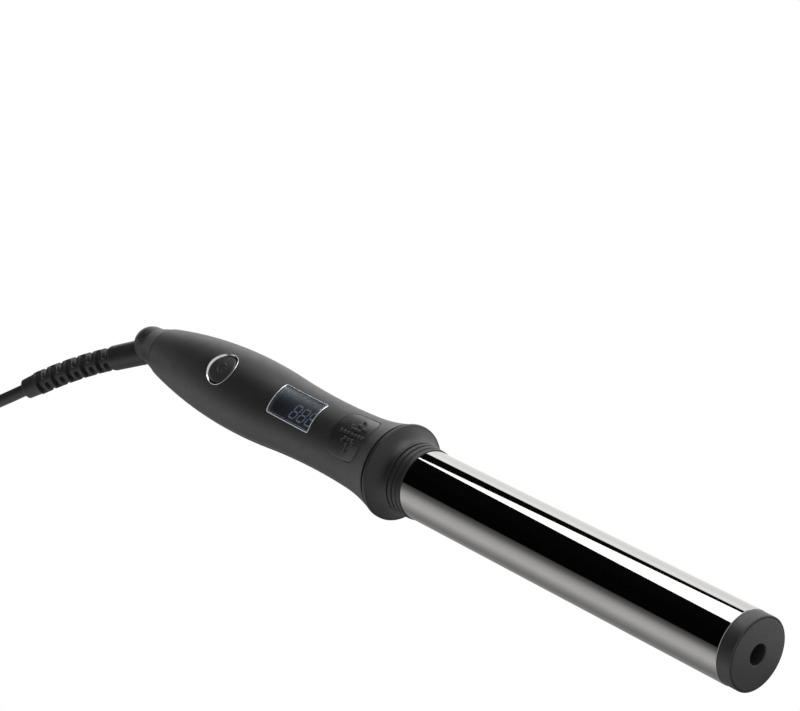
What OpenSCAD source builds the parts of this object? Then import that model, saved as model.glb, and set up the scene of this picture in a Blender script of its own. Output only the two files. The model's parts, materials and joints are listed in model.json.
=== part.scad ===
// Clipless curling iron with a swivelling cord, lying on a table.
// +X runs from the cord end to the heated tip, +Z is up through the power button.
// The origin is on the table under the middle of the iron, without its cord.

/* [Iron] */
// Length from the swivel knuckle to the tip face
overall_len = 327; // [325:0.5:330]

/* [Barrel] */
// Outside diameter of the heated barrel
barrel_d = 25.4; // [25.2:0.1:25.4]
// Wall thickness of the barrel tube
barrel_wall = 1.2; // [1:0.1:1.2]
// Length of the tip cap that shows past the barrel
cap_len = 5.4; // [4.5:0.1:6]
// Outside diameter of the tip cap
cap_d = 25; // [24.4:0.1:25]
// Diameter of the hole in the middle of the tip face
tip_hole_d = 7; // [6:0.1:7.2]

/* [Collar] */
// Diameter of the collar's thin rim, which the iron lies on
collar_d = 35.6; // [35:0.1:37]
// Thickness of the rim along the iron
rim_w = 1.5; // [1.2:0.1:1.8]
// Length of the flared face between the rim and the grooved nose
flare_len = 6; // [5:0.1:7]
// Length of the grooved nose
nose_len = 7.2; // [6.8:0.1:8]

/* [Handle] */
// Widest diameter of the handle, near the button
belly_d = 31.3; // [31:0.1:32]
// Narrowest diameter of the handle, beside the display
waist_d = 26.9; // [26.6:0.1:27.4]
// Diameter of the handle where it meets the collar
front_d = 34.4; // [34:0.1:35]
// Wall thickness of the handle shells
shell_wall = 2.2; // [1.8:0.1:2.3]

/* [Controls] */
// Diameter of the power button
button_d = 12; // [11:0.1:12.2]
// Distance that the button moves when it is pressed
button_travel = 0.8; // [0.5:0.1:0.8]
// Length of the display window
window_len = 23.2; // [22:0.1:24]
// Width of the display window
window_w = 12.2; // [11.6:0.1:12.4]
// Spacing of the raised dots on the thumb pad
dot_pitch = 2.1; // [1.9:0.05:2.2]

/* [Cord] */
// Diameter of the mains cord
cord_d = 5; // [4.8:0.1:5.2]
// Angle of the strain relief to the iron's axis, seen from above
relief_yaw = 35; // [33:0.5:37]

/* [Hidden] */
$fn = 96;
eps = 0.01;
fit_gap = 0.05;
axis_z = collar_d / 2;

// Places along the iron, from tip to knuckle
tip_x = overall_len / 2;
barrel_end_x = tip_x - cap_len;
rim_front_x = -1.2;
flare_end_x = rim_front_x + flare_len;
nose_x = flare_end_x + nose_len;
rim_back_x = rim_front_x - rim_w;
front_x = rim_back_x - 1.2;
barrel_back_x = -6;
swivel_x = -144;

// Barrel tube, turned down a little where it sits in the collar
barrel_r = barrel_d / 2;
barrel_bore_r = barrel_r - barrel_wall;
barrel_neck_r = barrel_r - 0.3;

// Handle outline: a long convex belly, a shallow waist, then a flare to the collar
belly_x = -91;
belly_bend = 250;
waist_x = -40;
waist_bend = 300;
flare_x = -22;
belly_slope = (belly_d - waist_d) / (waist_x - belly_x);
waist_start_x = belly_x + belly_bend * belly_slope;
waist_rear_bend = (waist_x - waist_start_x) / belly_slope;
flare_slope = (flare_x - waist_x) / waist_bend;
flare_r = waist_d / 2 + pow(flare_x - waist_x, 2) / (2 * waist_bend);
flare_rise = front_d / 2 - flare_r - flare_slope * (front_x - flare_x);
function handle_r(x) =
    x < waist_start_x ? belly_d / 2 - pow(x - belly_x, 2) / (2 * belly_bend) :
    x < waist_x ? waist_d / 2 + pow(x - waist_x, 2) / (2 * waist_rear_bend) :
    x < flare_x ? waist_d / 2 + pow(x - waist_x, 2) / (2 * waist_bend) :
    flare_r + flare_slope * (x - flare_x) + flare_rise * pow((x - flare_x) / (front_x - flare_x), 2);

// Inside of the handle
bush_seat_x = -136;
bush_end_x = -133;
brush_end_x = -123;
flange_x = -12;
bush_r = 6;
bush_flange_r = 7.5;
brush_seat_r = 9;
collar_hub_r = 14;
carrier_flange_r = 13.5;
shell_steps = 40;
pad_steps = 10;
control_steps = 12;
far = 30;
cut_z = 5;
cut_h = 15;
seam_w = 0.3;
seam_depth = 0.2;

// Swivel
ball_r = 7.3;
ball_x = -tip_x + ball_r;
spindle_r = 3.5;
spindle_clearance = 0.05;
slip_ring_xs = [-130, -126];
slip_ring_w = 2;
slip_ring_r = 4.4;
brush_gap = 0.3;
spindle_front_x = -120;
clip_seat_r = spindle_r - 0.7;
clip_t = 0.8;
clip_x = brush_end_x + 0.3;
sleeve_r = 5.3;
socket_r = sleeve_r + fit_gap;

// Heater inside the barrel
heater_x0 = 25;
heater_x1 = 145;
spreader_x1 = heater_x1 + 1;
spreader_r = barrel_bore_r - 0.1;
heater_t = 1.3;
mica_t = 0.25;
web_t = 1.7;
web_top = heater_t / 2 + mica_t + web_t;
anchor_t = 3;
tip_screw_r = 1.5;
tip_head_x = tip_x - 9;
thermistor_x = 55;

// Electronics
board_x0 = -110;
board_x1 = -37;
board_z = 1;
board_t = 1.6;
button_x = -95.9;
window_x = -51.9;
pad_x0 = -29;
pad_x1 = -10.5;
pad_w = 18.4;
pad_corner_r = 4;
pad_sink = 0.25;
pad_t = 1;
dots_x = -18.6;
board_top = board_z + board_t;
lcd_holder_top = 7.7;
mains_lead_r = 0.8;
sensor_lead_r = 0.5;

// Controls
button_hole_r = button_d / 2 + 1.1;
button_stem_z = 7.6;
plunger_r = 1.7;
plunger_len = 2.6;
rim_t = 0.4;

// Screws that hold the shells together, with their heads in the lower shell
screw_xs = [-116, -33];
post_r = 2.8;
post_top = 2.7;
screw_r = 1.2;
screw_head_r = 2.2;
screw_head_h = 1.8;
screw_seat_z = -8.5;
screw_len = 16;

// Strain relief, in its own frame: +X along it from the knuckle's middle
relief_drop = 3.2;
relief_rise = 1.5;
relief_roll = 8;
relief_bend = 14;
relief_bend_r = 149.4;
relief_x0 = 2;
sleeve_end = 20.5;
relief_end_len = 6.8;
rib_turn = 52;
relief_base = [ball_x, 0, axis_z - relief_drop];
function turn_x(v, a) = [v.x, v.y * cos(a) - v.z * sin(a), v.y * sin(a) + v.z * cos(a)];
function turn_y(v, a) = [v.x * cos(a) + v.z * sin(a), v.y, -v.x * sin(a) + v.z * cos(a)];
function turn_z(v, a) = [v.x * cos(a) - v.y * sin(a), v.x * sin(a) + v.y * cos(a), v.z];
function relief_point(v) =
    turn_z(turn_y(turn_x(v, -relief_roll), -relief_rise), 180 + relief_yaw) + relief_base;
relief_end = relief_point([
    sleeve_end + relief_bend_r * sin(relief_bend) + relief_end_len * cos(relief_bend),
    relief_bend_r * (1 - cos(relief_bend)) + relief_end_len * sin(relief_bend), 0]);

// Coil of the cord, lying on its tie
tie_t = 0.8;
coil_turns_wide = 3;
coil_layers = 4;
coil_centre = [-307, -45];
coil_r = 6 * cord_d;
coil_w = coil_turns_wide * cord_d;
coil_h = coil_layers * cord_d;
lead_angle = -75;
tail_angle = 200;
tie_angle = 0;
outer_turn_r = coil_r + (coil_turns_wide - 1) / 2 * cord_d;
bottom_turn_z = tie_t + cord_d / 2;
top_turn_z = bottom_turn_z + (coil_layers - 1) * cord_d;
function coil_point(angle, z) =
    [coil_centre.x + outer_turn_r * cos(angle), coil_centre.y + outer_turn_r * sin(angle), z];

// Plug lying on the coil
plug_l = 30;
plug_w = 22;
plug_h = 17;
plug_x = -325.5;
plug_y = -19;
plug_z = tie_t + coil_h + fit_gap + plug_h / 2;
plug_yaw = 35;
blade_l = 16;
blade_w = 6.35;
blade_t = 1.5;
blade_gap = 12.7;

// Routes of the cord that is not coiled
lead_route = [
    relief_end, [-211.8, -49.1, 15.1], [-221, -56, 13.5], [-235, -61.5, 10.5], [-253, -66.5, 7],
    [-270, -71.5, 4.4], [-284, -75.5, 3.4], coil_point(lead_angle, bottom_turn_z)];
tail_route = [
    coil_point(tail_angle, top_turn_z), [-341.5, -45, 20], [-338.5, -33.5, 23.5], [-332.5, -25, 27],
    [plug_x, plug_y, plug_z]];

// Smooth curve through the route's points
function curve_point(p, i, t) =
    let (
        a = p[max(i - 1, 0)],
        b = p[i],
        c = p[i + 1],
        d = p[min(i + 2, len(p) - 1)])
    0.5 * (2 * b + (c - a) * t + (2 * a - 5 * b + 4 * c - d) * t * t + (3 * b - a - 3 * c + d) * t * t * t);
function curve(p, steps) = [
    for (i = [0 : len(p) - 2], j = [0 : steps - 1]) curve_point(p, i, j / steps), p[len(p) - 1]];
function unit(v) = v / norm(v);
function heading(p, i) = unit(p[min(i + 1, len(p) - 1)] - p[max(i - 1, 0)]);
function tube_ring(centre, along, r, sides) =
    let (
        side = unit(cross(along, [0, 0, 1])),
        top = cross(side, along))
    [for (k = [0 : sides - 1]) centre + r * (cos(360 * k / sides) * side + sin(360 * k / sides) * top)];

// Helpers

module on_axis(x = 0) {
    translate([x, 0, axis_z]) children();
}

module turned() {
    on_axis() rotate([0, 90, 0]) rotate_extrude() children();
}

module rod(r, x0, x1) {
    on_axis(x0) rotate([0, 90, 0]) cylinder(r = r, h = x1 - x0);
}

module pipe(outer_r, inner_r, x0, x1) {
    difference() {
        rod(outer_r, x0, x1);
        rod(inner_r, x0 - 1, x1 + 1);
    }
}

// Box given by its low and high corners, with z measured from the iron's axis
module block(low, high) {
    on_axis() translate(low) cube(high - low);
}

// Solid of the handle's outline, moved in or out by grow
module handle_solid(x0, x1, grow, steps) {
    turned() polygon(concat(
        [[0, x0]],
        [for (i = [0 : steps]) let (x = x0 + (x1 - x0) * i / steps) [handle_r(x) + grow, x]],
        [[0, x1]]));
}

module rounded_slab(x0, x1, w, r, z0, z1) {
    on_axis() translate([0, 0, z0]) linear_extrude(z1 - z0) {
        translate([x0 + r, -w / 2]) square([x1 - x0 - 2 * r, w]);
        translate([x0, -w / 2 + r]) square([x1 - x0, w - 2 * r]);
        for (x = [x0 + r, x1 - r], y = [-w / 2 + r, w / 2 - r]) translate([x, y]) circle(r = r);
    }
}

module tube_along(route, steps, r, sides) {
    line = curve(route, steps);
    rings = len(line);
    points = [for (i = [0 : rings - 1]) each tube_ring(line[i], heading(line, i), r, sides)];
    walls = [
        for (i = [0 : rings - 2], k = [0 : sides - 1])
            let (n = (k + 1) % sides)
            [i * sides + k, (i + 1) * sides + k, (i + 1) * sides + n, i * sides + n]];
    ends = [
        [for (k = [0 : sides - 1]) k],
        [for (k = [sides - 1 : -1 : 0]) (rings - 1) * sides + k]];
    polyhedron(points, concat(walls, ends));
}

// Barrel and heater

module barrel() {
    color([0.13, 0.13, 0.14]) difference() {
        union() {
            rod(barrel_neck_r, barrel_back_x, nose_x);
            rod(barrel_r, nose_x, barrel_end_x);
        }
        rod(barrel_bore_r, barrel_back_x - 1, barrel_end_x + 1);
    }
}

// Heat-resistant tube that joins the barrel to the handle
module barrel_carrier() {
    front_x = 10;
    rear_x = -28;
    rear_r = 10.9;
    bore_r = 9.2;
    color([0.2, 0.19, 0.18]) difference() {
        union() {
            rod(barrel_bore_r - fit_gap, barrel_back_x, front_x);
            rod(carrier_flange_r, flange_x, barrel_back_x);
            rod(rear_r, rear_x, flange_x);
        }
        rod(bore_r, rear_x - 1, front_x + 1);
    }
}

module tip_cap() {
    spigot_x = barrel_end_x - 8;
    cap_r = cap_d / 2;
    edge = 0.4;
    color([0.2, 0.2, 0.2]) difference() {
        union() {
            rod(cap_r, barrel_end_x, tip_x - edge);
            on_axis(tip_x - edge) rotate([0, 90, 0]) cylinder(r1 = cap_r, r2 = cap_r - edge, h = edge);
            rod(barrel_bore_r - fit_gap, spigot_x, barrel_end_x);
        }
        rod(tip_hole_d / 2, tip_head_x, tip_x + 1);
        rod(tip_screw_r + 0.1, spigot_x - 1, tip_x);
    }
}

// Cross in the top of a screw's head, pointing up from the head's top face
module drive_cross(reach, w, depth) {
    for (a = [0, 90]) rotate(a) translate([-reach, -w / 2, -depth]) cube([2 * reach, w, 2 * depth]);
}

module tip_screw() {
    head_r = 2.8;
    head_h = 1.8;
    color([0.55, 0.55, 0.56]) {
        difference() {
            rod(head_r, tip_head_x, tip_head_x + head_h);
            on_axis(tip_head_x + head_h) rotate([0, 90, 0]) drive_cross(1.7, 0.7, 0.8);
        }
        rod(tip_screw_r, spreader_x1 + 1, tip_head_x);
    }
}

// Disc fixed in the barrel's end, which the tip screw is threaded into
module tip_anchor() {
    color([0.6, 0.6, 0.61]) pipe(barrel_bore_r, tip_screw_r, spreader_x1, spreader_x1 + anchor_t);
}

module collar() {
    bore_r = barrel_neck_r + fit_gap;
    nose_r0 = 13.5;
    nose_r1 = 13;
    nose_edge = 0.3;
    groove_xs = [for (i = [0 : 2]) flare_end_x + 0.6 + 2.2 * i];
    groove_w = 0.7;
    groove_floor_r = 12.85;
    rim_r = collar_d / 2;
    rim_edge = 0.4;
    face_r = rim_r - rim_edge;
    face_dip = 4;
    face_steps = 8;
    face = [for (i = [0 : face_steps]) let (t = i / face_steps)
        [face_r - (face_r - nose_r0) * t - face_dip * t * (1 - t), rim_front_x + flare_len * t]];
    color([0.16, 0.16, 0.16]) difference() {
        turned() polygon(concat(
            [[bore_r, barrel_back_x], [collar_hub_r, barrel_back_x], [collar_hub_r, rim_back_x],
             [face_r, rim_back_x], [rim_r, rim_back_x + rim_edge], [rim_r, rim_front_x - rim_edge]],
            face,
            [[nose_r1, nose_x - nose_edge], [nose_r1 - nose_edge, nose_x], [bore_r, nose_x]]));
        for (x = groove_xs) pipe(rim_r, groove_floor_r, x, x + groove_w);
    }
}

module ceramic_heater() {
    color([0.93, 0.92, 0.88]) block([heater_x0, -6, -heater_t / 2], [heater_x1, 6, heater_t / 2]);
}

module mica_sheets() {
    z = heater_t / 2;
    color([0.7, 0.6, 0.4]) {
        block([heater_x0, -7, z], [heater_x1, 7, z + mica_t]);
        block([heater_x0, -7, -z - mica_t], [heater_x1, 7, -z]);
    }
}

// Half-round extrusion that carries the heat from the plate to the barrel
module heat_spreader(side) {
    z = side * (heater_t / 2 + mica_t);
    reach = side * barrel_d;
    cavity = side * web_top;
    difference() {
        rod(spreader_r, heater_x0, spreader_x1);
        block([heater_x0 - 1, -barrel_d, min(-reach, z)], [spreader_x1 + 1, barrel_d, max(-reach, z)]);
        intersection() {
            rod(spreader_r - web_t, heater_x0 - 1, spreader_x1 + 1);
            block([heater_x0 - 2, -barrel_d, min(reach, cavity)], [spreader_x1 + 2, barrel_d, max(reach, cavity)]);
        }
    }
}

module upper_heat_spreader() {
    color([0.76, 0.77, 0.78]) heat_spreader(1);
}

module lower_heat_spreader() {
    color([0.76, 0.77, 0.78]) heat_spreader(-1);
}

module thermistor() {
    color([0.25, 0.3, 0.35]) block([thermistor_x, -4.5, web_top], [thermistor_x + 5, 4.5, web_top + 2]);
}

module thermal_fuse() {
    fuse_r = 2;
    color([0.8, 0.8, 0.82]) on_axis(34) translate([0, 0, -web_top - fuse_r]) rotate([0, 90, 0])
        cylinder(r = fuse_r, h = 11);
}

module lead_pair(x0, x1, y, z, r) {
    for (side = [-1, 1]) on_axis(x0) translate([0, side * y, z]) rotate([0, 90, 0]) cylinder(r = r, h = x1 - x0);
}

module heater_leads() {
    color([0.8, 0.78, 0.7]) lead_pair(board_x1 - 4, heater_x0, 4.8, board_z - mains_lead_r, mains_lead_r);
}

module sensor_leads() {
    color([0.75, 0.2, 0.15]) lead_pair(board_x1 - 3, thermistor_x, 4, board_top + sensor_lead_r, sensor_lead_r);
}

// Handle

module handle_cavity() {
    rod(bush_r, swivel_x - 1, bush_seat_x + eps);
    rod(bush_flange_r, bush_seat_x, bush_end_x + eps);
    rod(brush_seat_r, bush_end_x, brush_end_x + eps);
    handle_solid(brush_end_x, flange_x, -shell_wall, 32);
    rod(collar_hub_r + fit_gap, flange_x - eps, front_x + 1);
}

// Shallow groove along both sides of the handle, where its halves meet
module seam_groove() {
    intersection() {
        block([swivel_x - 1, -far, -seam_w / 2], [front_x + 1, far, seam_w / 2]);
        difference() {
            handle_solid(swivel_x - 1, front_x + 1, 1, shell_steps);
            handle_solid(swivel_x - 2, front_x + 2, -seam_depth, shell_steps);
        }
    }
}

module handle_half(side) {
    intersection() {
        difference() {
            handle_solid(swivel_x, front_x, 0, shell_steps);
            handle_cavity();
            seam_groove();
        }
        block([swivel_x - 1, -far, min(0, side * far)], [front_x + 1, far, max(0, side * far)]);
    }
}

// Round post from one height to another, ending inside the wall of the shell
module screw_post(x, z0, z1) {
    intersection() {
        on_axis(x) translate([0, 0, z0]) cylinder(r = post_r, h = z1 - z0);
        handle_solid(swivel_x, front_x, -shell_wall / 2, shell_steps);
    }
}

module upper_shell() {
    thread_r = screw_r + fit_gap;
    thread_len = 7;
    window_hole = [window_len / 2 + rim_t, window_w / 2 + rim_t];
    color([0.14, 0.14, 0.14]) difference() {
        union() {
            handle_half(1);
            for (x = screw_xs) screw_post(x, post_top, far);
        }
        for (x = screw_xs) on_axis(x) translate([0, 0, post_top - 1]) cylinder(r = thread_r, h = thread_len);
        on_axis(button_x) translate([0, 0, cut_z]) cylinder(r = button_hole_r, h = cut_h);
        block([window_x - window_hole.x, -window_hole.y, cut_z],
              [window_x + window_hole.x, window_hole.y, cut_z + cut_h]);
        difference() {
            rounded_slab(pad_x0, pad_x1, pad_w, pad_corner_r, cut_z, cut_z + cut_h);
            handle_solid(pad_x0 - 3, pad_x1 + 3, -pad_sink - pad_t, pad_steps);
        }
    }
}

module lower_shell() {
    color([0.14, 0.14, 0.14]) difference() {
        union() {
            handle_half(-1);
            for (x = screw_xs) screw_post(x, -far, post_top);
        }
        for (x = screw_xs) {
            on_axis(x) translate([0, 0, screw_seat_z - 1]) cylinder(r = screw_r + 0.1, h = far);
            on_axis(x) translate([0, 0, -far]) cylinder(r = screw_head_r + 0.1, h = far + screw_seat_z);
        }
    }
}

module shell_screws() {
    color([0.3, 0.3, 0.31]) for (x = screw_xs) on_axis(x) translate([0, 0, screw_seat_z]) difference() {
        union() {
            translate([0, 0, -screw_head_h]) cylinder(r = screw_head_r, h = screw_head_h);
            cylinder(r = screw_r, h = screw_len);
        }
        translate([0, 0, -screw_head_h]) drive_cross(1.4, 0.6, 0.9);
    }
}

// Arms of three dots along and across, arms of two on the diagonals, and one in the middle
module thumb_pad() {
    dot_r = 0.7;
    dot_top_r = 0.4;
    dot_h = 0.86;
    spots = concat(
        [[0, 0]],
        [for (a = [0 : 90 : 270], k = [1 : 3]) dot_pitch * k * [cos(a), sin(a)]],
        [for (along = [-1, 1], across = [-1, 1], k = [1, 1.5]) dot_pitch * k * [along, across]]);
    color([0.12, 0.12, 0.12]) union() {
        intersection() {
            rounded_slab(pad_x0, pad_x1, pad_w, pad_corner_r, cut_z, cut_z + cut_h);
            difference() {
                handle_solid(pad_x0 - 2, pad_x1 + 2, -pad_sink, pad_steps);
                handle_solid(pad_x0 - 3, pad_x1 + 3, -pad_sink - pad_t, pad_steps);
            }
        }
        for (s = spots) let (x = dots_x + s.x, r = handle_r(x) - pad_sink - dot_h / 2)
            on_axis(x) rotate([-s.y / r * 180 / PI, 0, 0]) translate([0, 0, r])
                cylinder(r1 = dot_r, r2 = dot_top_r, h = dot_h);
    }
}

// Controls

// Round cap with a flange that the ring keeps in, on a short stem
module power_button() {
    top_gap = 0.3;
    cap_r = button_d / 2;
    flange_z = 11.4;
    flange_h = 0.8;
    flange_r = button_hole_r - 0.2;
    stem_r = 2;
    color([0.17, 0.17, 0.17]) intersection() {
        on_axis(button_x) {
            translate([0, 0, flange_z]) cylinder(r = cap_r, h = cut_h);
            translate([0, 0, flange_z]) cylinder(r = flange_r, h = flange_h);
            translate([0, 0, button_stem_z]) cylinder(r = stem_r, h = flange_z - button_stem_z + eps);
        }
        handle_solid(button_x - 12, button_x + 12, -top_gap, control_steps);
    }
}

module switch_plunger() {
    color([0.9, 0.9, 0.9]) on_axis(button_x) translate([0, 0, button_stem_z - plunger_len])
        cylinder(r = plunger_r, h = plunger_len);
}

module button_ring() {
    ring_z = 12.6;
    bore_r = button_hole_r - 0.6;
    rise = 0.15;
    color([0.85, 0.85, 0.87]) intersection() {
        on_axis(button_x) translate([0, 0, ring_z]) difference() {
            cylinder(r = button_hole_r, h = cut_h);
            translate([0, 0, -1]) cylinder(r = bore_r, h = cut_h + 2);
        }
        handle_solid(button_x - 12, button_x + 12, rise, control_steps);
    }
}

module tact_switch() {
    case_h = 3.5;
    case_half = 3;
    well_z = button_stem_z - plunger_len - button_travel - 0.3;
    color([0.1, 0.1, 0.1]) difference() {
        block([button_x - case_half, -case_half, board_top], [button_x + case_half, case_half, board_top + case_h]);
        on_axis(button_x) translate([0, 0, well_z]) cylinder(r = plunger_r + fit_gap, h = case_h);
    }
}

// Piece of the handle's wall over the display, grown sideways and taken from one depth to another
module window_block(grow, depth, rise) {
    half = [window_len / 2 + grow, window_w / 2 + grow];
    intersection() {
        block([window_x - half.x, -half.y, cut_z], [window_x + half.x, half.y, cut_z + cut_h]);
        difference() {
            handle_solid(window_x - 15, window_x + 15, rise, control_steps);
            handle_solid(window_x - 16, window_x + 16, -depth, control_steps);
        }
    }
}

module display_window() {
    color([0.06, 0.07, 0.08]) window_block(0, 1.8, 0);
}

module display_rim() {
    color([0.8, 0.8, 0.82]) difference() {
        window_block(rim_t, 1.2, 0.12);
        block([window_x - window_len / 2, -window_w / 2, 0], [window_x + window_len / 2, window_w / 2, far]);
    }
}

module lcd_panel() {
    color([0.1, 0.12, 0.12]) block([window_x - 11, -6, lcd_holder_top], [window_x + 11, 6, lcd_holder_top + 1.5]);
}

// Box that holds the display above the board and spreads its light
module lcd_holder() {
    wall = 2;
    roof = 1.5;
    half = [11.6, 6.6];
    color([0.9, 0.9, 0.88]) difference() {
        block([window_x - half.x, -half.y, board_top], [window_x + half.x, half.y, lcd_holder_top]);
        block([window_x - half.x + wall, wall - half.y, board_top - 1],
              [window_x + half.x - wall, half.y - wall, lcd_holder_top - roof]);
    }
}

// Electronics

module main_board() {
    half_w = 9;
    hole_r = 1;
    hole_inset = 3;
    hole_y = 6.5;
    color([0.1, 0.35, 0.18]) difference() {
        block([board_x0, -half_w, board_z], [board_x1, half_w, board_top]);
        for (x = [board_x0 + hole_inset, board_x1 - hole_inset], y = [-hole_y, hole_y])
            on_axis(x) translate([0, y, 0]) cylinder(r = hole_r, h = 2 * board_top);
    }
}

module control_chip() {
    color([0.08, 0.08, 0.08]) block([-84, -5, board_top], [-74, 5, board_top + 1.5]);
}

module power_triac() {
    color([0.12, 0.12, 0.12]) block([-64, -5, board_z - 4.5], [-49, 5, board_z]);
}

module film_capacitor() {
    color([0.85, 0.75, 0.2]) block([-90, -2.5, board_z - 9], [-77, 2.5, board_z]);
}

module board_fuse() {
    color([0.8, 0.75, 0.6]) on_axis(-105) translate([0, 0, board_z - 2]) rotate([0, 90, 0]) cylinder(r = 2, h = 9);
}

// Swivel

module swivel_bush() {
    bore_r = spindle_r + spindle_clearance;
    color([0.85, 0.83, 0.78]) difference() {
        union() {
            rod(bush_r, swivel_x, bush_seat_x);
            rod(bush_flange_r, bush_seat_x, bush_end_x);
        }
        rod(bore_r, swivel_x - 1, bush_end_x + 1);
    }
}

module brush_blocks() {
    half = [0.8, 1];
    low_z = -6.6;
    for (x = slip_ring_xs)
        block([x - half.x, -half.y, low_z], [x + half.x, half.y, -slip_ring_r - brush_gap]);
}

module brush_housing() {
    color([0.3, 0.3, 0.3]) difference() {
        pipe(brush_seat_r, slip_ring_r + 0.9, bush_end_x, brush_end_x);
        brush_blocks();
    }
}

module contact_brushes() {
    color([0.8, 0.5, 0.3]) brush_blocks();
}

module supply_leads() {
    color([0.15, 0.15, 0.5]) lead_pair(brush_end_x, board_x0 + 4, 7.9, board_z - mains_lead_r, mains_lead_r);
}

module in_relief_frame() {
    translate(relief_base) rotate([-relief_roll, -relief_rise, 180 + relief_yaw]) children();
}

// Round end with a flared neck and a hollow spindle
module knuckle() {
    face_x = swivel_x - 0.4;
    neck = [[7.55, -152.5], [9.75, face_x]];
    dome = [for (a = [0 : 7.5 : 90]) [ball_r * sin(a), ball_x - ball_r * cos(a)]];
    wire_bore_r = 1.6;
    color([0.14, 0.14, 0.14]) difference() {
        union() {
            turned() polygon(concat(dome, neck, [[0, face_x]]));
            rod(spindle_r, swivel_x - 1, spindle_front_x);
        }
        rod(wire_bore_r, -150, spindle_front_x + 1);
        pipe(spindle_r + 1, clip_seat_r, clip_x, clip_x + clip_t);
        in_relief_frame() rotate([0, 90, 0]) translate([0, 0, relief_x0]) cylinder(r = socket_r, h = 10);
    }
}

module slip_rings() {
    color([0.85, 0.65, 0.25]) for (x = slip_ring_xs)
        pipe(slip_ring_r, spindle_r, x - slip_ring_w / 2, x + slip_ring_w / 2);
}

module spindle_clip() {
    color([0.6, 0.6, 0.62]) pipe(6.5, clip_seat_r, clip_x, clip_x + clip_t);
}

// Cord set

// Slot cut right round the relief, apart from a rib on two sides
module relief_slot(ribs, w, floor_r) {
    reach = 10;
    difference() {
        translate([-w / 2, -reach, -reach]) cube([w, 2 * reach, 2 * reach]);
        if (ribs == "left and right") translate([-w, -reach, -1]) cube([2 * w, 2 * reach, 2]);
        if (ribs == "above and below") translate([-w, -1, -reach]) cube([2 * w, 2, 2 * reach]);
        translate([-w, 0, 0]) rotate([0, 90, 0]) cylinder(r = floor_r, h = 2 * w);
    }
}

// A plain sleeve, a slotted part that bends, and a tapered end
module strain_relief() {
    slots = 10;
    slot_w = 1.6;
    core_r = cord_d / 2 + 0.5;
    bend_centre = [sleeve_end, relief_bend_r, 0];
    color([0.12, 0.12, 0.12]) in_relief_frame() {
        translate([relief_x0, 0, 0]) rotate([0, 90, 0]) cylinder(r1 = sleeve_r, r2 = 5.1, h = sleeve_end - relief_x0);
        difference() {
            translate(bend_centre) rotate(-90) rotate_extrude(angle = relief_bend)
                translate([relief_bend_r, 0]) circle(r = 4.75);
            for (i = [0 : slots - 1]) translate(bend_centre) rotate(relief_bend * (i + 0.5) / slots)
                translate([0, -relief_bend_r, 0]) rotate([rib_turn, 0, 0])
                    relief_slot(i % 2 == 0 ? "left and right" : "above and below", slot_w, core_r);
        }
        translate(bend_centre) rotate(relief_bend) translate([0, -relief_bend_r, 0]) rotate([0, 90, 0])
            cylinder(r1 = 4.45, r2 = 4.1, h = relief_end_len);
    }
}

module cord() {
    color([0.1, 0.1, 0.1]) tube_along(lead_route, 2, cord_d / 2, 10);
}

module cord_coil() {
    corner = cord_d / 2;
    color([0.1, 0.1, 0.1]) translate([coil_centre.x, coil_centre.y, tie_t]) rotate_extrude()
        translate([coil_r - coil_w / 2, 0]) {
            translate([corner, 0]) square([coil_w - 2 * corner, coil_h]);
            translate([0, corner]) square([coil_w, coil_h - 2 * corner]);
            for (x = [corner, coil_w - corner], y = [corner, coil_h - corner]) translate([x, y]) circle(r = corner);
        }
}

module cord_tie() {
    spread = 16;
    color([0.15, 0.15, 0.16]) translate([coil_centre.x, coil_centre.y, 0]) rotate(tie_angle - spread / 2)
        rotate_extrude(angle = spread) difference() {
            translate([coil_r - coil_w / 2 - tie_t, 0]) square([coil_w + 2 * tie_t, coil_h + 2 * tie_t]);
            translate([coil_r - coil_w / 2, tie_t]) square([coil_w, coil_h]);
        }
}

module cord_tail() {
    color([0.1, 0.1, 0.1]) tube_along(tail_route, 2, cord_d / 2, 10);
}

// +X along the plug, from the cord to its blades
module in_plug_frame() {
    translate([plug_x, plug_y, plug_z]) rotate(plug_yaw) children();
}

module plug_body() {
    grip_l = 12;
    color([0.1, 0.1, 0.1]) in_plug_frame() {
        rotate([0, 90, 0]) cylinder(r1 = 4.2, r2 = 6.5, h = grip_l);
        translate([grip_l, -plug_w / 2, -plug_h / 2]) cube([plug_l - grip_l, plug_w, plug_h]);
    }
}

module plug_blades() {
    color([0.8, 0.8, 0.8]) in_plug_frame() for (side = [-1, 1])
        translate([plug_l, side * blade_gap / 2 - blade_t / 2, -blade_w / 2]) cube([blade_l, blade_t, blade_w]);
}

barrel();
barrel_carrier();
tip_cap();
tip_screw();
tip_anchor();
collar();
ceramic_heater();
mica_sheets();
upper_heat_spreader();
lower_heat_spreader();
thermistor();
thermal_fuse();
heater_leads();
sensor_leads();
upper_shell();
lower_shell();
shell_screws();
thumb_pad();
power_button();
switch_plunger();
button_ring();
tact_switch();
display_window();
display_rim();
lcd_panel();
lcd_holder();
main_board();
control_chip();
power_triac();
film_capacitor();
board_fuse();
swivel_bush();
brush_housing();
contact_brushes();
supply_leads();
knuckle();
slip_rings();
spindle_clip();
strain_relief();
cord();
cord_coil();
cord_tie();
cord_tail();
plug_body();
plug_blades();
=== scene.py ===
# Curling iron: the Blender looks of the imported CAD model, in metres and in the model's own frame.
# +X runs from the cord end to the tip, +Z is up through the power button, and the table is at z = 0.
import json
import math

import bmesh
import bpy
import numpy as np
from mathutils import Matrix, Vector


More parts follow.
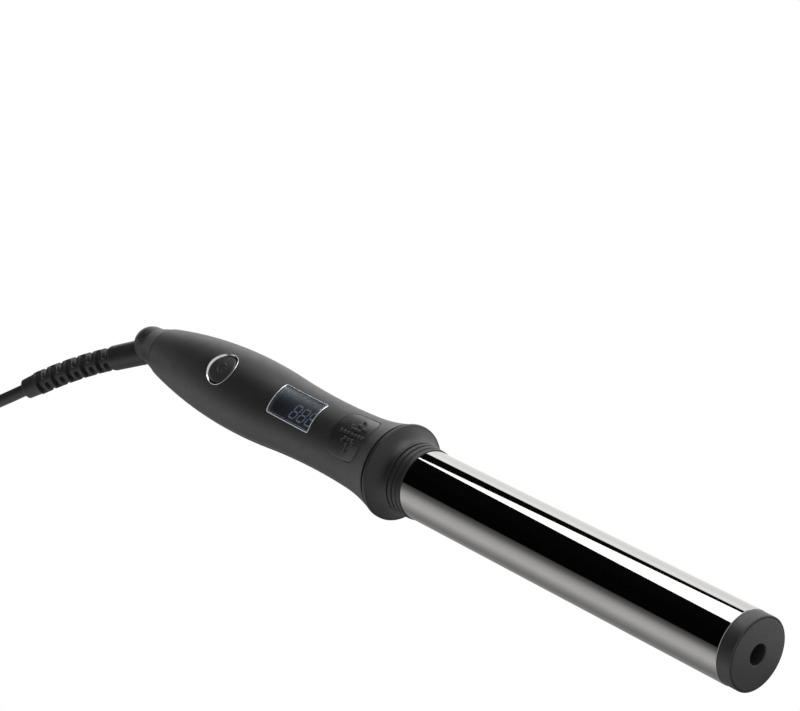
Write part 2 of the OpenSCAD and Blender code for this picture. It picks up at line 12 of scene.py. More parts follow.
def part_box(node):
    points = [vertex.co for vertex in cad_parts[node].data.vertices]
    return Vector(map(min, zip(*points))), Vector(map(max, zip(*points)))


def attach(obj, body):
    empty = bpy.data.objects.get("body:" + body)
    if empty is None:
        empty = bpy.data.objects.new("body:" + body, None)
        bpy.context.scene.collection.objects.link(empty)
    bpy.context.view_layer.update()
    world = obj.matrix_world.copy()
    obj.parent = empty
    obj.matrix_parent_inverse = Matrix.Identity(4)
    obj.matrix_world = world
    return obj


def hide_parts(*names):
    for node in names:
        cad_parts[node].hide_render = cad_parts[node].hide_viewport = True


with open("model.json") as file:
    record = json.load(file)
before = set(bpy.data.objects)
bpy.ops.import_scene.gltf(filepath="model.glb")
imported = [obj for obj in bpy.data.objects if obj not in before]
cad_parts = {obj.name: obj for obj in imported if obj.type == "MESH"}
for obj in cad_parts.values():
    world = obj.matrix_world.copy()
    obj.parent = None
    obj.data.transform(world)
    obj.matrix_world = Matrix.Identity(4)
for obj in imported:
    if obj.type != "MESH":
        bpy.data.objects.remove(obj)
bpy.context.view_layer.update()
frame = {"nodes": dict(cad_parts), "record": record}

scene = bpy.context.scene
scene.view_settings.view_transform = "Standard"
scene.view_settings.look = "None"

MM = 0.001
ROUND = 192


def box(node):
    low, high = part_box(node)
    return Vector(low), Vector(high)


def middle(node):
    low, high = box(node)
    return (low + high) / 2


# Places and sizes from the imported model
AXIS_Z = middle("barrel").z
SWIVEL_X = box("upper_shell")[0].x
FRONT_X = box("upper_shell")[1].x
BARREL_END_X = box("barrel")[1].x
BARREL_R = (box("barrel")[1].z - box("barrel")[0].z) / 2
TIP_X = box("tip_cap")[1].x
CAP_R = (box("tip_cap")[1].z - box("tip_cap")[0].z) / 2
COLLAR_BACK_X = box("collar")[0].x
NOSE_X = box("collar")[1].x
RIM_R = (box("collar")[1].z - box("collar")[0].z) / 2
BUTTON_X = middle("button_ring").x
RING_R = (box("button_ring")[1].x - box("button_ring")[0].x) / 2
BUTTON_R = RING_R - 1.1 * MM
WINDOW_X = middle("display_window").x
WINDOW_HALF = (box("display_window")[1] - box("display_window")[0]) / 2
PAD_LOW, PAD_HIGH = box("thumb_pad")
LCD_TOP = box("lcd_panel")[1].z
KNUCKLE_X = box("knuckle")[0].x
SPINDLE_X = box("knuckle")[1].x
SHELL_WALL = 2.2 * MM

# Outline of the handle, as in the CAD model
BELLY_X, BELLY_R, BELLY_BEND = -91 * MM, 15.65 * MM, 250 * MM
WAIST_X, WAIST_R, WAIST_BEND = -40 * MM, 13.45 * MM, 300 * MM
FLARE_X, FRONT_R = -22 * MM, 17.2 * MM
BELLY_SLOPE = 2 * (BELLY_R - WAIST_R) / (WAIST_X - BELLY_X)
WAIST_START_X = BELLY_X + BELLY_BEND * BELLY_SLOPE
WAIST_REAR_BEND = (WAIST_X - WAIST_START_X) / BELLY_SLOPE
FLARE_SLOPE = (FLARE_X - WAIST_X) / WAIST_BEND
FLARE_R = WAIST_R + (FLARE_X - WAIST_X) ** 2 / (2 * WAIST_BEND)
FLARE_RISE = FRONT_R - FLARE_R - FLARE_SLOPE * (FRONT_X - FLARE_X)


def handle_r(x):
    """Radius of the handle at x, for a number or an array."""
    belly = BELLY_R - (x - BELLY_X) ** 2 / (2 * BELLY_BEND)
    rear_waist = WAIST_R + (x - WAIST_X) ** 2 / (2 * WAIST_REAR_BEND)
    waist = WAIST_R + (x - WAIST_X) ** 2 / (2 * WAIST_BEND)
    flare = FLARE_R + FLARE_SLOPE * (x - FLARE_X) + FLARE_RISE * ((x - FLARE_X) / (FRONT_X - FLARE_X)) ** 2
    front = np.where(x < FLARE_X, waist, flare)
    return np.where(x < WAIST_START_X, belly, np.where(x < WAIST_X, rear_waist, front))


def handle_top(x, y):
    """Height of the handle's surface over the table."""
    return AXIS_Z + np.sqrt(handle_r(x) ** 2 - y ** 2)


def smooth(value, start, end):
    """Rises smoothly from 0 at start to 1 at end."""
    t = np.clip((value - start) / (end - start), 0, 1)
    return t * t * (3 - 2 * t)


# Camera

CAMERA_AT = Vector((0.5445, -0.1571, 0.5727))
CAMERA_TARGET = Vector((-0.03975, 0.03935, 0.0178))
CAMERA_ROLL = math.radians(-38.79)


def make_camera():
    data = bpy.data.cameras.new("camera")
    data.sensor_width = 36
    data.lens = 101.54
    data.clip_start = 0.01
    data.clip_end = 20
    camera = bpy.data.objects.new("camera", data)
    scene.collection.objects.link(camera)
    aim = (CAMERA_TARGET - CAMERA_AT).to_track_quat("-Z", "Y").to_matrix().to_4x4()
    camera.matrix_world = Matrix.Translation(CAMERA_AT) @ aim @ Matrix.Rotation(CAMERA_ROLL, 4, "Z")
    scene.camera = camera


# Meshes

def new_piece(name, mesh, body, material, sharp_angle=35):
    mesh.shade_smooth()
    mesh.set_sharp_from_angle(angle=math.radians(sharp_angle))
    mesh.materials.clear()
    mesh.materials.append(material)
    piece = bpy.data.objects.new(name, mesh)
    scene.collection.objects.link(piece)
    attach(piece, body)
    return piece


def grid_mesh(name, points, close_rows=False, close_columns=False, caps=False):
    """Mesh of quads over points[row][column], with the rows or columns joined end to end."""
    points = np.asarray(points)
    rows, columns = points.shape[:2]
    last_row = rows if close_rows else rows - 1
    last_column = columns if close_columns else columns - 1
    faces = [
        (i * columns + j, (i + 1) % rows * columns + j,
         (i + 1) % rows * columns + (j + 1) % columns, i * columns + (j + 1) % columns)
        for i in range(last_row) for j in range(last_column)]
    if caps:
        faces.append(tuple(range(columns)))
        faces.append(tuple((rows - 1) * columns + j for j in reversed(range(columns))))
    mesh = bpy.data.meshes.new(name)
    mesh.from_pydata(points.reshape(-1, 3).tolist(), [], faces)
    return cleaned(mesh)


def cleaned(mesh):
    """Joins points that lie together and turns every face outwards."""
    work = bmesh.new()
    work.from_mesh(mesh)
    bmesh.ops.remove_doubles(work, verts=work.verts, dist=0.0005 * MM)
    bmesh.ops.recalc_face_normals(work, faces=work.faces)
    work.to_mesh(mesh)
    work.free()
    return mesh


def rounded_outline(corners, steps=6):
    """Points through (a, b, radius) corners, each corner rounded to its radius."""
    outline = []
    for i, (a, b, radius) in enumerate(corners):
        here = Vector((a, b))
        before = Vector(corners[i - 1][:2]) - here
        after = Vector(corners[(i + 1) % len(corners)][:2]) - here
        if radius == 0:
            outline.append(here)
            continue
        before.normalize()
        after.normalize()
        half = before.angle(after) / 2
        centre = here + (before + after).normalized() * radius / math.sin(half)
        first = here + before * radius / math.tan(half) - centre
        last = here + after * radius / math.tan(half) - centre
        sweep = math.pi - 2 * half
        for step in range(steps + 1):
            t = step / steps
            arm = (first * math.sin((1 - t) * sweep) + last * math.sin(t * sweep)) / math.sin(sweep)
            outline.append(centre + arm)
    return outline


def turned(name, corners, body, material, closed=True, sides=ROUND):
    """Piece turned round the iron's axis from (x, r, radius) corners."""
    outline = np.array([tuple(p) for p in rounded_outline(corners)])
    angles = np.linspace(0, 2 * math.pi, sides, endpoint=False)
    x = np.repeat(outline[:, :1], sides, axis=1)
    r = outline[:, 1:]
    points = np.stack([x, r * np.cos(angles), AXIS_Z + r * np.sin(angles)], axis=-1)
    piece = new_piece(name, grid_mesh(name, points, close_rows=closed, close_columns=True), body, material)
    weigh_normals(piece)
    return piece


def weigh_normals(piece):
    modifier = piece.modifiers.new("even shading", "WEIGHTED_NORMAL")
    modifier.keep_sharp = True


def cut_away(piece, *cutters):
    """Cuts the closed cutters out of a piece and removes them."""
    for cutter in cutters:
        modifier = piece.modifiers.new("cut", "BOOLEAN")
        modifier.operation = "DIFFERENCE"
        modifier.solver = "EXACT"
        modifier.object = cutter
    shapes = bpy.context.evaluated_depsgraph_get()
    cut = bpy.data.meshes.new_from_object(piece.evaluated_get(shapes))
    piece.modifiers.clear()
    piece.data = cut
    for cutter in cutters:
        bpy.data.objects.remove(cutter)


def upright_cutter(outline, low, high):
    """Closed block with a flat outline of (x, y) points, from one height to another."""
    points = [[(x, y, z) for x, y in outline] for z in (low, high)]
    cutter = bpy.data.objects.new("cutter", grid_mesh("cutter", points, close_columns=True, caps=True))
    scene.collection.objects.link(cutter)
    return cutter


def circle(x, y, r, count):
    angles = [math.tau * k / count for k in range(count)]
    return [(x + r * math.cos(a), y + r * math.sin(a)) for a in angles]


def rectangle(x, y, half_x, half_y, corner, steps=8):
    signs = [(-1, -1), (1, -1), (1, 1), (-1, 1)]
    corners = [(x + a * half_x, y + b * half_y, corner) for a, b in signs]
    return [tuple(p) for p in rounded_outline(corners, steps)]


# Materials

class Finish:
    """A procedural material, built up node by node."""

    def __init__(self, name, **constants):
        self.material = bpy.data.materials.new(name)
        self.material.use_nodes = True
        self.tree = self.material.node_tree
        self.shader = self.tree.nodes["Principled BSDF"]
        self.place = self.add("ShaderNodeTexCoord").outputs["Object"]
        for socket, value in constants.items():
            self.shader.inputs[socket.replace("_", " ")].default_value = value

    def add(self, kind, inputs=(), **settings):
        node = self.tree.nodes.new(kind)
        for key, value in settings.items():
            setattr(node, key, value)
        for key, value in dict(inputs).items():
            if isinstance(value, bpy.types.NodeSocket):
                self.tree.links.new(value, node.inputs[key])
            else:
                node.inputs[key].default_value = value
        return node

    def stretched(self, stretch):
        return self.add("ShaderNodeMapping", {"Vector": self.place, "Scale": stretch}).outputs[0]

    def noise(self, size, detail=3, stretch=(1, 1, 1)):
        """Noise whose features are about size metres across, stretched along an axis by a small scale."""
        inputs = {"Vector": self.stretched(stretch), "Scale": 1 / size, "Detail": detail, "Roughness": 0.55}
        return self.add("ShaderNodeTexNoise", inputs).outputs["Fac"]

    def cells(self, size, stretch=(1, 1, 1)):
        inputs = {"Vector": self.stretched(stretch), "Scale": 1 / size}
        return self.add("ShaderNodeTexVoronoi", inputs).outputs["Distance"]

    def wave(self, size):
        inputs = {"Vector": self.place, "Scale": 0.05 / size}
        return self.add("ShaderNodeTexWave", inputs).outputs["Fac"]

    def spread(self, value, low, high, start=0.3, end=0.7):
        """Value from start to end, changed to run from low to high."""
        inputs = {"Value": value, "From Min": start, "From Max": end, "To Min": low, "To Max": high}
        return self.add("ShaderNodeMapRange", inputs).outputs["Result"]

    def mix(self, share, first, second):
        node = self.add("ShaderNodeMix", {0: share, 6: first, 7: second}, data_type="RGBA")
        return node.outputs[2]

    def scuffs(self, size):
        """1 in a few small rubbed places and 0 elsewhere."""
        return self.spread(self.noise(size, 5, (0.5, 1, 1)), 0, 1, 0.64, 0.74)

    def bump(self, height, depth, below=None):
        inputs = {"Height": height, "Strength": 1, "Distance": depth}
        if below is not None:
            inputs["Normal"] = below
        return self.add("ShaderNodeBump", inputs).outputs["Normal"]

    def put(self, socket, value):
        if isinstance(value, bpy.types.NodeSocket):
            self.tree.links.new(value, self.shader.inputs[socket])
        else:
            self.shader.inputs[socket].default_value = value


def grey(level, blue=1.0):
    return (level, level, level * blue, 1)


def shade(colour, share):
    return tuple(c * share for c in colour[:3]) + (1,)


def moulded(name, colour, rough, grain=0.35 * MM, depth=0.012 * MM, wear=0.0):
    """Moulded plastic or rubber: fine grain, soft patches of sheen and, when wear is given, a little wear in
    small rubbed places.
    """
    finish = Finish(name)
    patch = 9 * MM
    patches = finish.noise(patch, 2)
    fine = finish.noise(grain, 4)
    base = finish.mix(finish.spread(patches, 0, 1), shade(colour, 0.88), shade(colour, 1.12))
    if wear:
        base = finish.mix(finish.scuffs(1.5 * patch), base, shade(colour, 1 + wear))
    finish.put("Base Color", base)
    finish.put("Roughness", finish.spread(finish.noise(patch / 3, 3), rough - 0.035, rough + 0.035))
    finish.put("Normal", finish.bump(fine, depth))
    return finish.material


def plated(name, colour, rough, ripple=0.0):
    """Plated metal with faint smears, and a long low ripple from its polishing."""
    finish = Finish(name, Metallic=1.0)
    smear = 6 * MM
    smears = finish.noise(smear, 4, (0.4, 1, 1))
    colours = shade(colour, 0.97), shade(colour, 1.03)
    finish.put("Base Color", finish.mix(finish.spread(smears, 0, 1), *colours))
    finish.put("Roughness", finish.spread(finish.noise(smear / 2, 5), rough * 0.6, rough * 1.5))
    scratches = finish.noise(0.12 * MM, 2, (0.03, 1, 1))
    polish = finish.bump(finish.noise(30 * MM, 1), ripple)
    finish.put("Normal", finish.bump(scratches, 0.00003 * MM, polish))
    return finish.material


def drawn_metal(name, colour, rough, stretch):
    """Bare metal with fine lines along the way it was drawn or turned."""
    finish = Finish(name, Metallic=1.0)
    lines = finish.noise(0.5 * MM, 4, stretch)
    stains = finish.noise(7 * MM, 3)
    finish.put("Base Color", finish.mix(finish.spread(stains, 0, 1), shade(colour, 0.8), colour))
    finish.put("Roughness", finish.spread(lines, rough - 0.07, rough + 0.1))
    finish.put("Normal", finish.bump(lines, 0.01 * MM))
    return finish.material


def smoked_window(name):
    """Smoked gloss plastic that the display shows through."""
    finish = Finish(name)
    smudges = finish.noise(5 * MM, 3)
    gloss_rough = finish.spread(smudges, 0.03, 0.09)
    skin = finish.bump(finish.noise(6 * MM, 1), 0.02 * MM)
    gloss = finish.add("ShaderNodeBsdfGlossy", {
        "Color": (1, 1, 1, 1), "Roughness": gloss_rough, "Normal": skin})
    haze = finish.add("ShaderNodeBsdfGlossy", {
        "Color": (0.85, 0.93, 1, 1), "Roughness": 0.38, "Normal": skin})
    clear = finish.add("ShaderNodeBsdfTransparent", {"Color": (0.62, 0.65, 0.7, 1)})
    smoke = finish.add("ShaderNodeMixShader", {0: 0.1, 1: clear.outputs[0], 2: haze.outputs[0]})
    both = finish.add("ShaderNodeMixShader", {0: 0.06, 1: smoke.outputs[0], 2: gloss.outputs[0]})
    finish.tree.links.new(both.outputs[0], finish.tree.nodes["Material Output"].inputs["Surface"])
    return finish.material


def printed_board(name):
    """Green solder mask over copper tracks."""
    finish = Finish(name)
    tracks = finish.add("ShaderNodeTexBrick", {
        "Vector": finish.stretched((1, 1, 0)), "Scale": 1 / (9 * MM), "Mortar Size": 0.03,
        "Color1": grey(0), "Color2": grey(0), "Mortar": grey(1)}).outputs["Fac"]
    mask = finish.mix(finish.spread(finish.noise(3 * MM), 0, 1), (0.02, 0.13, 0.05, 1), (0.03, 0.18, 0.08, 1))
    finish.put("Base Color", finish.mix(tracks, mask, (0.07, 0.3, 0.14, 1)))
    finish.put("Roughness", finish.spread(finish.noise(1 * MM), 0.25, 0.4))
    finish.put("Normal", finish.bump(tracks, 0.04 * MM))
    return finish.material


def speckled(name, colour, speck, size, rough):
    """Pressed or fired material with specks in it."""
    finish = Finish(name)
    specks = finish.cells(size)
    finish.put("Base Color", finish.mix(finish.spread(specks, 1, 0, 0.05, 0.35), colour, speck))
    finish.put("Roughness", finish.spread(finish.noise(size * 3), rough - 0.08, rough + 0.08))
    finish.put("Normal", finish.bump(specks, 0.03 * MM))
    return finish.material


def woven_sleeve(name, colour):
    """Braided glass sleeve of a heat-proof lead."""
    finish = Finish(name)
    braid = finish.cells(0.35 * MM, (0.5, 1, 1))
    finish.put("Base Color", finish.mix(braid, colour, shade(colour, 0.6)))
    finish.put("Roughness", finish.spread(finish.noise(2 * MM), 0.5, 0.7))
    finish.put("Normal", finish.bump(braid, 0.08 * MM))
    return finish.material


def display_glass(name):
    """Dark display glass with the faint grid of its segments' leads."""
    finish = Finish(name)
    leads = finish.wave(0.9 * MM)
    colours = (0.03, 0.034, 0.04, 1), (0.05, 0.056, 0.064, 1)
    finish.put("Base Color", finish.mix(finish.spread(leads, 0, 0.3), *colours))
    finish.put("Roughness", finish.spread(finish.noise(3 * MM), 0.12, 0.2))
    finish.put("Normal", finish.bump(finish.noise(2 * MM), 0.004 * MM))
    return finish.material


SOFT_BLACK = grey(0.0135, 1.03)
MATERIALS = {
    "barrel_plating": plated("barrel_plating", (0.33, 0.325, 0.32, 1), 0.035, ripple=0.002 * MM),
    "soft_black": moulded("soft_black", SOFT_BLACK, 0.46, wear=0.25),
    "collar_plastic": moulded("collar_plastic", grey(0.011, 1.03), 0.5, wear=0.25),
    "cap_plastic": moulded("cap_plastic", grey(0.02, 1.02), 0.5, wear=0.3),
    "pad_rubber": moulded("pad_rubber", grey(0.0135, 1.02), 0.33),
    "button_plastic": moulded("button_plastic", grey(0.02, 1.02), 0.45, wear=0.3),
    "bright_chrome": plated("bright_chrome", (0.82, 0.82, 0.84, 1), 0.08),
    "window_plastic": smoked_window("window_plastic"),
    "lcd_glass": display_glass("lcd_glass"),
    "white_plastic": moulded("white_plastic", grey(0.75, 0.97), 0.45),
    "black_plastic": moulded("black_plastic", grey(0.02), 0.35),
    "board_green": printed_board("board_green"),
    "capacitor_yellow": moulded("capacitor_yellow", (0.65, 0.48, 0.06, 1), 0.35),
    "ceramic_white": speckled("ceramic_white", (0.8, 0.79, 0.75, 1), (0.6, 0.58, 0.53, 1), 0.5 * MM, 0.5),
    "mica": speckled("mica", (0.5, 0.4, 0.24, 1), (0.75, 0.66, 0.45, 1), 1.2 * MM, 0.3),
    "spreader_aluminium": drawn_metal("spreader_aluminium", (0.72, 0.73, 0.74, 1), 0.33, (0.05, 1, 1)),
    "carrier_plastic": speckled("carrier_plastic", (0.09, 0.08, 0.07, 1), (0.14, 0.125, 0.11, 1), 0.4 * MM,
                                0.55),
    "steel": drawn_metal("steel", (0.55, 0.55, 0.56, 1), 0.25, (1, 1, 0.1)),
    "brass": drawn_metal("brass", (0.72, 0.52, 0.2, 1), 0.22, (1, 0.1, 0.1)),
    "wire_sleeve": woven_sleeve("wire_sleeve", (0.55, 0.52, 0.44, 1)),
    "bush_plastic": moulded("bush_plastic", (0.7, 0.67, 0.6, 1), 0.4),
    "cord_rubber": moulded("cord_rubber", grey(0.016, 1.02), 0.42, grain=0.6 * MM, depth=0.02 * MM),
    "plug_plastic": moulded("plug_plastic", grey(0.018, 1.02), 0.45, wear=0.3),
}


def paint_nodes():
    """Gives every CAD node the material of its slot in the record."""
    for part in frame["record"]["subparts"]:
        node = frame["nodes"][part["node"]]
        node.data.materials.clear()
        node.data.materials.append(MATERIALS[part["material_slot"]])


# Cord set: the strain relief, then a lead, a coil on the table and a tail to the plug

CORD_R = 2.5 * MM
RELIEF_BASE = Vector((KNUCKLE_X + 7.3 * MM, 0, AXIS_Z - 3.2 * MM))
RELIEF_TURN = (Matrix.Rotation(math.radians(215), 4, "Z") @ Matrix.Rotation(math.radians(-1.5), 4, "Y")
               @ Matrix.Rotation(math.radians(-8), 4, "X"))
RELIEF_START = 2 * MM
SLEEVE_END = 20.5 * MM
SLEEVE_R = 5.3 * MM
RELIEF_BEND_R = 149.4 * MM
BEND_LEN = math.radians(14) * RELIEF_BEND_R
RELIEF_END_LEN = 6.8 * MM
RELIEF_LEN = SLEEVE_END + BEND_LEN + RELIEF_END_LEN
RIB_TURN = math.radians(52)

COIL_X, COIL_Y = -307 * MM, -45 * MM
COIL_R = 30 * MM
PITCH = 5 * MM
TIE_T = 0.8 * MM
LEAD_ANGLE = math.radians(-75)
COIL_TURNS = 11 + 85 / 360
BOTTOM_TURN_Z = TIE_T + CORD_R
TURN_RS = [COIL_R + PITCH * k for k in (1, 0, -1, -1, 0, 1, 1, 0, -1, -1, 0, 1)]
TURN_ZS = [BOTTOM_TURN_Z + PITCH * (k // 3) for k in range(12)]
LEAD_POINTS = [(-211.8, -49.1, 15.1), (-221, -56, 13.5), (-235, -61.5, 10.5), (-253, -66.5, 7),
               (-270, -71.5, 4.4), (-284, -75.5, 3.4)]
TAIL_POINTS = [(-341.5, -45, 20), (-338.5, -33.5, 23.5), (-332.5, -25, 27)]
PLUG_LEN, PLUG_HALF_W, PLUG_HALF_H = 30 * MM, 11 * MM, 8.5 * MM
PLUG_END = Vector((-325.5 * MM, -19 * MM, TIE_T + 4 * PITCH + 0.05 * MM + PLUG_HALF_H))
PLUG_YAW = math.radians(35)


def relief_frame(s):
    """Centre, heading and side of the strain relief at s along it."""
    turn = min(max(s - SLEEVE_END, 0), BEND_LEN) / RELIEF_BEND_R
    straight = min(s, SLEEVE_END)
    after = max(s - SLEEVE_END - BEND_LEN, 0)
    centre = Vector((straight + RELIEF_BEND_R * math.sin(turn) + after * math.cos(turn),
                     RELIEF_BEND_R * (1 - math.cos(turn)) + after * math.sin(turn), 0))
    heading = Vector((math.cos(turn), math.sin(turn), 0))
    side = Vector((-math.sin(turn), math.cos(turn), 0))
    return RELIEF_BASE + RELIEF_TURN @ centre, RELIEF_TURN @ heading, RELIEF_TURN @ side


def through(points, steps):
    """Smooth curve through the points, without its last one."""
    line = []
    for i in range(len(points) - 1):
        a, b, c, d = points[max(i - 1, 0)], points[i], points[i + 1], points[min(i + 2, len(points) - 1)]
        for step in range(steps):
            t = step / steps
            line.append(0.5 * (2 * b + (c - a) * t + (2 * a - 5 * b + 4 * c - d) * t ** 2
                               + (3 * b - a - 3 * c + d) * t ** 3))
    return line


def coil_point(turned_by):
    """Point of the coil after turned_by whole turns from its lead."""
    turn = min(int(turned_by), len(TURN_RS) - 1)
    following = min(turn + 1, len(TURN_RS) - 1)
    step = float(smooth(turned_by - turn, 0.865, 1.0))
    r = TURN_RS[turn] + (TURN_RS[following] - TURN_RS[turn]) * step
    z = TURN_ZS[turn] + (TURN_ZS[following] - TURN_ZS[turn]) * step
    angle = LEAD_ANGLE - math.tau * turned_by
    return Vector((COIL_X + r * math.cos(angle), COIL_Y + r * math.sin(angle), z))


def cord_line():
    steps = round(COIL_TURNS * 60)
    coil = [coil_point(COIL_TURNS * k / steps) for k in range(steps + 1)]
    lead = [relief_frame(RELIEF_LEN)[0]] + [MM * Vector(p) for p in LEAD_POINTS] + coil[:1]
    tail = coil[-1:] + [MM * Vector(p) for p in TAIL_POINTS] + [PLUG_END]
    return through(lead, 6) + coil[:-1] + through(tail, 6) + [PLUG_END]


def make_cord():
    line = cord_line()
    curve = bpy.data.curves.new("mains_cord", "CURVE")
    curve.dimensions = "3D"
    curve.bevel_depth = CORD_R
    curve.bevel_resolution = 5
    curve.use_fill_caps = True
    spline = curve.splines.new("POLY")
    spline.points.add(len(line) - 1)
    for point, place in zip(spline.points, line):
        point.co = (*place, 1)
    curve.materials.append(MATERIALS["cord_rubber"])
    cord = bpy.data.objects.new("mains_cord", curve)
    scene.collection.objects.link(cord)
    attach(cord, "cord_set")
    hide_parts("cord", "cord_coil", "cord_tail")
    with_pieces = [make_plug(), make_tie(), frame["nodes"]["plug_blades"]]


def make_tie():
    """Strap round one side of the coil."""
    spread = math.radians(8)
    rings = []
    for out, corner in ((TIE_T, 2 * MM), (0, 1.5 * MM)):
        half_w = 1.5 * PITCH + out
        low, high = TIE_T - out, TIE_T + 4 * PITCH + out
        rings.append(rounded_outline([
            (COIL_R - half_w, low, corner), (COIL_R + half_w, low, corner),
            (COIL_R + half_w, high, corner), (COIL_R - half_w, high, corner)]))
    outer, inner = rings
    rows = []
    sections = [(inner, 1), (inner, -1), (outer, -1), (outer, -0.96), (outer, 0.96), (outer, 1)]
    for ring, share in sections:
        angle = spread * share
        rows.append([(COIL_X + r * math.cos(angle), COIL_Y + r * math.sin(angle), z) for r, z in ring])
    mesh = grid_mesh("tie_strap", rows, close_rows=True, close_columns=True)
    tie = new_piece("tie_strap", mesh, "cord_set", MATERIALS["black_plastic"])
    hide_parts("cord_tie")
    return tie


def superellipse(half_a, half_b, power, count):
    points = []
    for k in range(count):
        angle = math.tau * k / count
        c, s = math.cos(angle), math.sin(angle)
        points.append((half_a * math.copysign(abs(c) ** (2 / power), c),
                       half_b * math.copysign(abs(s) ** (2 / power), s)))
    return points


def make_plug():
    """Moulded two-blade plug: a ribbed grip that swells into a rounded block."""
    place = Matrix.Translation(PLUG_END) @ Matrix.Rotation(PLUG_YAW, 4, "Z")
    grip_r = 4.2 * MM
    edge = 1.6 * MM
    rows = [[place @ Vector((0, 0, 0))] * 64]
    for t in np.concatenate([np.linspace(0, 0.96, 60), 1 - 0.04 * (1 - np.linspace(0, 1, 8)) ** 2]):
        swell = float(smooth(t, 0.12, 0.62))
        rib = 0.25 * MM * math.sin(t * 46) * float(1 - smooth(t, 0.25, 0.42))
        inset = edge * max(0.0, (t - 0.96) / 0.04) ** 2 - rib
        half_w = grip_r + (PLUG_HALF_W - grip_r) * swell - inset
        half_h = grip_r + (PLUG_HALF_H - grip_r) * swell - inset
        ring = superellipse(half_w, half_h, 2 + 1.6 * swell, 64)
        rows.append([place @ Vector((float(t) * PLUG_LEN, u, v)) for u, v in ring])
    rows.append([place @ Vector((PLUG_LEN, 0, 0))] * 64)
    mesh = grid_mesh("plug_moulding", rows, close_columns=True)
    plug = new_piece("plug_moulding", mesh, "cord_set", MATERIALS["plug_plastic"], 50)
    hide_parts("plug_body")
    return plug


def relief_r(s, angle):
    """Radius of the strain relief at s along it, at an angle round it."""
    slots, floor_half, flank, rib_half = 10, 0.55 * MM, 0.65 * MM, 1.1 * MM
    slotted_r, core_r = 4.75 * MM, 2.9 * MM
    end_start_r, end_r = 4.45 * MM, 4.1 * MM
    past = s - SLEEVE_END - BEND_LEN
    if s < SLEEVE_END:
        step = (SLEEVE_R - 0.2 * MM - slotted_r) * float(smooth(s, SLEEVE_END - 0.5 * MM, SLEEVE_END))
        return np.full_like(angle, SLEEVE_R - 0.2 * MM * s / SLEEVE_END - step)
    if past > 0:
        edge = 1.1 * MM * float(smooth(past, RELIEF_END_LEN - 1.1 * MM, RELIEF_END_LEN)) ** 2
        step = (slotted_r - end_start_r) * float(1 - smooth(past, 0, 0.4 * MM))
        return np.full_like(angle, end_start_r + (end_r - end_start_r) * past / RELIEF_END_LEN - edge + step)
    cut = np.zeros_like(angle)
    for i in range(slots):
        offset = abs(s - SLEEVE_END - BEND_LEN * (i + 0.5) / slots)
        across = np.sin(angle - RIB_TURN) if i % 2 == 0 else np.cos(angle - RIB_TURN)
        depth = 1 - np.clip((offset - floor_half) / flank, 0, 1)
        open_side = smooth(np.abs(across) * slotted_r, rib_half - 0.2 * MM, rib_half + 0.3 * MM)
        cut = np.maximum(cut, depth * open_side)
    return slotted_r - (slotted_r - core_r) * cut


def relief_ring(s, r, angles):
    centre, heading, side = relief_frame(s)
    top = heading.cross(side)
    around = np.outer(np.cos(angles), side) + np.outer(np.sin(angles), top)
    return np.array(centre) + np.reshape(r, (-1, 1)) * around


def make_relief():
    angles = np.linspace(0, 2 * math.pi, 128, endpoint=False)
    places = np.arange(RELIEF_START, RELIEF_LEN, 0.1 * MM).tolist() + [RELIEF_LEN]
    rows = [relief_ring(s, relief_r(s, angles), angles) for s in places]
    rows.insert(0, relief_ring(RELIEF_START, np.zeros_like(angles), angles))
    rows.append(relief_ring(RELIEF_LEN, np.zeros_like(angles), angles))
    mesh = grid_mesh("flex_relief", rows, close_columns=True)
    relief = new_piece("flex_relief", mesh, "cord_set", MATERIALS["cord_rubber"], 60)
    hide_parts("strain_relief")


# Iron

def make_barrel():
    bore_r = BARREL_R - 1.2 * MM
    neck_r = BARREL_R - 0.3 * MM
    barrel = turned("barrel_tube", [
        (COLLAR_BACK_X, bore_r, 0), (COLLAR_BACK_X, neck_r, 0), (NOSE_X, neck_r, 0),
        (NOSE_X, BARREL_R, 0), (BARREL_END_X, BARREL_R, 0.3 * MM), (BARREL_END_X, bore_r, 0)],
        "iron", MATERIALS["barrel_plating"], sides=256)
    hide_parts("barrel")


def make_cap():
    """Cap with a fine groove between its rim and its face, and a deep hole for a driver."""
    spigot_x = BARREL_END_X - 8 * MM
    spigot_r = BARREL_R - 1.25 * MM
    head_x = TIP_X - 9 * MM
    rim_x = TIP_X - 0.25 * MM
    hole_r = 3.5 * MM
    face_r = CAP_R - 0.75 * MM
    groove = 0.3 * MM
    cap = turned("cool_tip", [
        (spigot_x, 1.6 * MM, 0), (spigot_x, spigot_r, 0.3 * MM), (BARREL_END_X, spigot_r, 0),
        (BARREL_END_X, CAP_R, 0.2 * MM), (rim_x, CAP_R, 0.2 * MM), (rim_x, face_r + groove, 0.05 * MM),
        (rim_x - groove, face_r + groove / 2, 0.05 * MM), (TIP_X - 0.1 * MM, face_r, 0.1 * MM),
        (TIP_X, face_r - 0.6 * MM, 0),
        (TIP_X, hole_r, 0.35 * MM), (head_x, hole_r, 0), (head_x, 1.6 * MM, 0)],
        "iron", MATERIALS["cap_plastic"])
    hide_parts("tip_cap")


